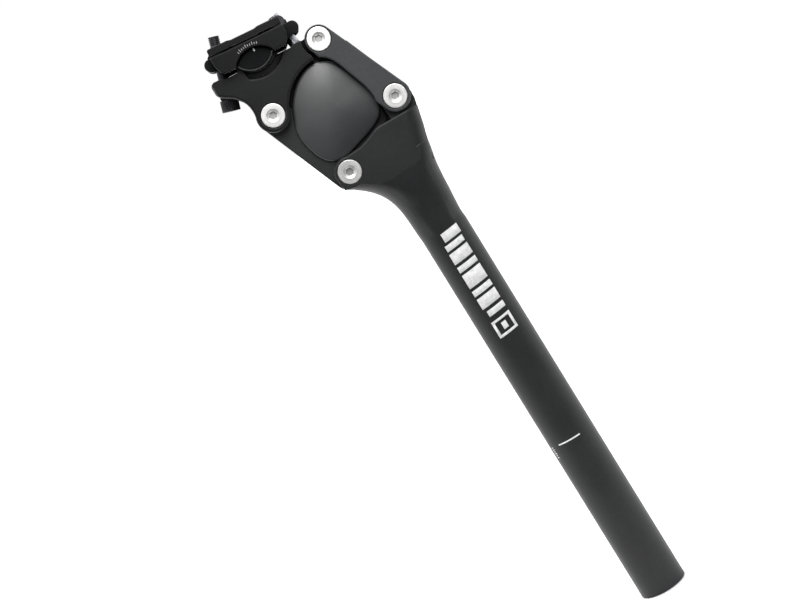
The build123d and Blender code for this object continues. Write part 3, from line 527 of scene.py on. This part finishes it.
def cover_piece(name, node, sgn):
    bm = bmesh.new()
    rings = []

    def ring(fn, y):
        rings.append([bm.verts.new((q.x * MM, sgn * yy * MM, q.y * MM)) for q, yy in
                      ((fn(i), y(i) if callable(y) else y) for i in range(N))])

    def off(w):
        return lambda i: outline[i] + normals[i] * w

    def out(f):
        return lambda i: outline[i] + normals[i] * (skirt_w[i] * f)

    # back face, skirt edge, ribbed skirt face, step, rounded edge, dome
    ring(out(0.98), 10.60)
    ring(out(1.0), 10.64)
    ring(out(1.0), 10.84)
    ring(out(0.96), 10.93)
    ring(out(0.86), 10.95)
    for k in range(1, 8):
        a = math.pi * k / 8
        f = 0.82 - 0.34 * (k / 8)
        ring(out(f), 10.95 + 0.45 * math.sin(a))
    ring(out(0.42), 10.95)
    ring(out(0.20), 10.95)
    ring(off(0.18), 10.98)
    ring(off(0.02), 11.10)
    ring(off(0.0), 11.70)
    for k in range(1, 7):
        a = math.pi / 2 * k / 6
        ring(off(-0.75 * (1 - math.cos(a))), 11.70 + 0.75 * math.sin(a))
    # dome, with a faint moulded border line
    for f in (0.955, 0.945, 0.935, 0.925, 0.915, 0.88, 0.84, 0.80, 0.75, 0.70, 0.64, 0.58, 0.51, 0.44, 0.36, 0.28, 0.20, 0.12, 0.05):
        h = 12.45 + 2.3 * (1 - f ** 2.1)
        ring((lambda g: (lambda i: centre + (outline[i] - centre) * g))(f), h)
    for p, q in zip(rings, rings[1:]):
        for i in range(N):
            j = (i + 1) % N
            bm.faces.new((p[i], p[j], q[j], q[i]))
    bm.faces.new(rings[-1])
    # back: a shallow recess closes it
    inner = [bm.verts.new(((centre.x + (outline[i].x - centre.x) * 0.5) * MM, sgn * 10.63 * MM, (centre.y + (outline[i].y - centre.y) * 0.5) * MM)) for i in range(N)]
    for i in range(N):
        j = (i + 1) % N
        bm.faces.new((rings[0][i], rings[0][j], inner[j], inner[i]))
    bm.faces.new(inner)
    bmesh.ops.recalc_face_normals(bm, faces=bm.faces)
    ob = new_object(name, bm, COVER, "lower_link")
    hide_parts(node)
    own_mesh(ob)
    return ob


cover_piece("cover_dome_left", "side_cover_left", -1)
cover_piece("cover_dome_right", "side_cover_right", 1)

# the coil of the main spring, cut at z = 140.1 mm into a lower and an upper half
for cname, keep_low, body, start, end in (
        ("main_spring_lower_coil", True, "preload_adjuster", (0, 0, 0.138), (0, 0, 0.048)),
        ("main_spring_upper_coil", False, "plunger", (0, 0, 0.142), (0, 0, 0.236))):
    bm = bmesh.new()
    bm.from_mesh(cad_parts["main_spring"].data)
    bmesh.ops.remove_doubles(bm, verts=bm.verts, dist=1e-6)
    bmesh.ops.bisect_plane(bm, geom=bm.verts[:] + bm.edges[:] + bm.faces[:], plane_co=(0, 0, 0.1401), plane_no=(0, 0, 1),
                           clear_outer=keep_low, clear_inner=not keep_low)
    bmesh.ops.holes_fill(bm, edges=[e for e in bm.edges if e.is_boundary], sides=0)
    bmesh.ops.recalc_face_normals(bm, faces=bm.faces)
    me = bpy.data.meshes.new(cname)
    bm.to_mesh(me)
    bm.free()
    me.materials.append(SPRING)
    for poly_ in me.polygons:
        poly_.use_smooth = True
    coil = bpy.data.objects.new(cname, me)
    coll.objects.link(coil)
    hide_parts("main_spring")
    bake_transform(coil)

# ------------------------------------------------------------------ stage, lights, camera
floor_me = bpy.data.meshes.new("floor")
FZ = -0.0009
floor_me.from_pydata([(-30, -0.20, FZ), (30, -0.20, FZ), (30, 60, FZ), (-30, 60, FZ)], [], [(0, 1, 2, 3)])
floor = bpy.data.objects.new("floor", floor_me)
coll.objects.link(floor)
fg = bpy.data.materials.new("pale_floor")
fg.use_nodes = True
fb = fg.node_tree.nodes["Principled BSDF"]
fb.inputs["Base Color"].default_value = (0.92, 0.92, 0.92, 1)
fb.inputs["Roughness"].default_value = 0.95
fb.inputs["Specular IOR Level"].default_value = 0.05
floor_me.materials.append(fg)

# pale studio: bright sweep behind and to the sides, dim room at the camera's side, a wide soft source overhead
world = bpy.data.worlds.new("studio")
scene.world = world
world.use_nodes = True
wn = world.node_tree
bg = wn.nodes["Background"]
wtc = wn.nodes.new("ShaderNodeTexCoord")
wsep = wn.nodes.new("ShaderNodeSeparateXYZ")
wn.links.new(wtc.outputs["Generated"], wsep.inputs[0])


def wrange(sock, lo, hi, a, b):
    node = wn.nodes.new("ShaderNodeMapRange")
    node.interpolation_type = "SMOOTHSTEP"
    for key, v in (("From Min", lo), ("From Max", hi), ("To Min", a), ("To Max", b)):
        node.inputs[key].default_value = v
    wn.links.new(sock, node.inputs["Value"])
    return node.outputs["Result"]


behind = wrange(wsep.outputs["Y"], -0.85, 0.35, 0.0, 1.0)
front = wrange(wsep.outputs["Z"], -0.35, 0.60, FRONT_LOW, FRONT_HIGH)
wmix = wn.nodes.new("ShaderNodeMix")
wmix.data_type = "FLOAT"
wn.links.new(behind, wmix.inputs[0])
wn.links.new(front, wmix.inputs[2])
wmix.inputs[3].default_value = 1.0
wn.links.new(wmix.outputs[0], bg.inputs["Strength"])
bg.inputs["Color"].default_value = (1.0, 1.0, 1.0, 1.0)


def area(name, loc, target, size, energy, size_y=None, color=(1, 1, 1)):
    li = bpy.data.lights.new(name, "AREA")
    li.energy = energy
    li.color = color
    li.shape = "RECTANGLE" if size_y else "SQUARE"
    li.size = size
    if size_y:
        li.size_y = size_y
    ob = bpy.data.objects.new(name, li)
    coll.objects.link(ob)
    ob.location = loc
    ob.rotation_euler = (Vector(target) - Vector(loc)).to_track_quat("-Z", "Y").to_euler()
    return ob


area("key", (0.10, -0.38, 0.66), (-0.02, 0, 0.33), 0.24, 1.5)
area("front_soft", (0.045, -0.57, 0.54), (-0.02, 0, 0.34), 0.15, 0.70)
sun = bpy.data.lights.new("sun", "SUN")
sun.energy = 2.6
sun.angle = math.radians(60)
so = bpy.data.objects.new("sun", sun)
coll.objects.link(so)
# high, and from behind the object
so.rotation_euler = Vector((0.15, -0.35, -0.95)).to_track_quat("-Z", "Y").to_euler()

# camera: level with the post, rolled so that the head leans to the left
DIST, EL, ROLL, LENS = 0.975707, math.radians(5.8719), math.radians(31.9113), 1795.0 / 800.0 * 36.0
TARGET = Vector((-0.0407006, 0.0, 0.211857))
back = Vector((0.0, -math.cos(EL), math.sin(EL)))
right = Vector((1.0, 0.0, 0.0))
up = back.cross(right)
r2 = right * math.cos(ROLL) - up * math.sin(ROLL)
u2 = right * math.sin(ROLL) + up * math.cos(ROLL)
cam_data = bpy.data.cameras.new("camera")
cam_data.sensor_width = 36.0
cam_data.lens = LENS
cam_data.clip_start = 0.01
cam = bpy.data.objects.new("camera", cam_data)
coll.objects.link(cam)
rot = Matrix((r2, u2, back)).transposed()
cam.matrix_world = Matrix.Translation(TARGET + back * DIST) @ rot.to_4x4()
scene.camera = cam

scene.view_settings.view_transform = "Standard"
scene.view_settings.look = "None"
